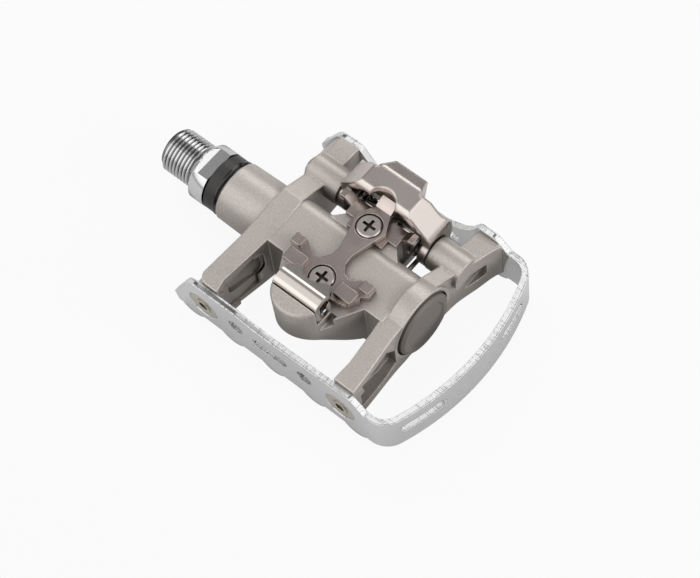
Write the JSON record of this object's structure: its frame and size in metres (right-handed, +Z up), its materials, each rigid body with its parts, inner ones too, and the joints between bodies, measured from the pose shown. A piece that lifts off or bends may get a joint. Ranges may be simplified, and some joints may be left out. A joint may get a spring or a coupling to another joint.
{
  "type": "dual-purpose bicycle pedal",
  "caption": "Bicycle pedal with a sprung cleat holder on one side, a toothed steel cage for ordinary shoes round it, and a threaded spindle.",
  "frame": {"origin": "on the spindle's axis at its crank seat, where the thread ends and the collar begins", "axes": "+X forward, +Y outboard along the spindle, +Z up to the cleat side"},
  "size_m": [0.0657, 0.1149, 0.0324],
  "materials": {
    "body": "satin warm silver-grey paint on cast aluminium",
    "end_cap": "grey moulded plastic",
    "cage": "bright chrome-plated steel with rough sheared edges",
    "cage_bolts": "yellowish nickel-plated steel",
    "cleat_plate": "brownish nickel-plated steel",
    "cover_plate": "nickel-plated sheet steel",
    "plate_screws": "grey zinc-plated steel",
    "front_claw": "polished nickel-plated sheet steel",
    "front_claw_pin": "bright steel",
    "pivot_pin": "plated steel",
    "spring_inboard": "oiled spring steel",
    "spring_outboard": "oiled spring steel",
    "lock_bolt": "dark grey moulded resin",
    "mouth_seal": "glossy black rubber",
    "bearing_sleeve": "ground steel",
    "inner_balls": "polished bearing steel",
    "outer_balls": "polished bearing steel",
    "spindle": "bright chrome-plated steel",
    "bearing_cone": "hardened steel",
    "cone_nut": "plated steel",
    "rear_claw": "satin nickel casting with polished bevels",
    "tension_screw": "plated steel",
    "tension_nut": "plated steel"
  },
  "bodies": {
    "pedal_body": {"body": "body", "end_cap": "end_cap", "cage": "cage", "cage_bolts": "cage_bolts", "cleat_plate": "cleat_plate", "cover_plate": "cover_plate", "plate_screws": "plate_screws", "front_claw": "front_claw", "front_claw_pin": "front_claw_pin", "pivot_pin": "pivot_pin", "spring_inboard": "spring_inboard", "spring_outboard": "spring_outboard", "lock_bolt": "lock_bolt", "mouth_seal": "mouth_seal", "bearing_sleeve": "bearing_sleeve", "inner_balls": "inner_balls", "outer_balls": "outer_balls"},
    "spindle": {"spindle": "spindle", "bearing_cone": "bearing_cone", "cone_nut": "cone_nut"},
    "rear_claw": {"rear_claw": "rear_claw"},
    "tension_screw": {"tension_screw": "tension_screw"},
    "tension_nut": {"tension_nut": "tension_nut"}
  },
  "joints": [
    {"name": "spindle_spin", "type": "hinge", "parent": "pedal_body", "child": "spindle", "pos_m": [0, 0, 0], "axis": [0, 1, 0], "continuous": true},
    {"name": "claw_release", "type": "hinge", "parent": "pedal_body", "child": "rear_claw", "pos_m": [-0.019, 0.0548, 0.0025], "axis": [0, -1, 0], "range_deg": [0, 25], "stiffness_Nm_per_rad": 1.5, "springref_deg": -28.65, "deforming": ["spring_inboard", "spring_outboard"]},
    {"name": "tension_screw_turn", "type": "hinge", "parent": "rear_claw", "child": "tension_screw", "pos_m": [-0.0263, 0.0548, 0.008], "axis": [1, 0, 0], "range_deg": [0, 1080]},
    {"name": "tension_nut_travel", "type": "slide", "parent": "rear_claw", "child": "tension_nut", "axis": [1, 0, 0], "range_m": [0, 0.0024]}
  ],
  "couplings": [
    {"joint": "tension_screw_turn", "follows": "tension_nut_travel", "rad_per_m": 7853.9}
  ]
}
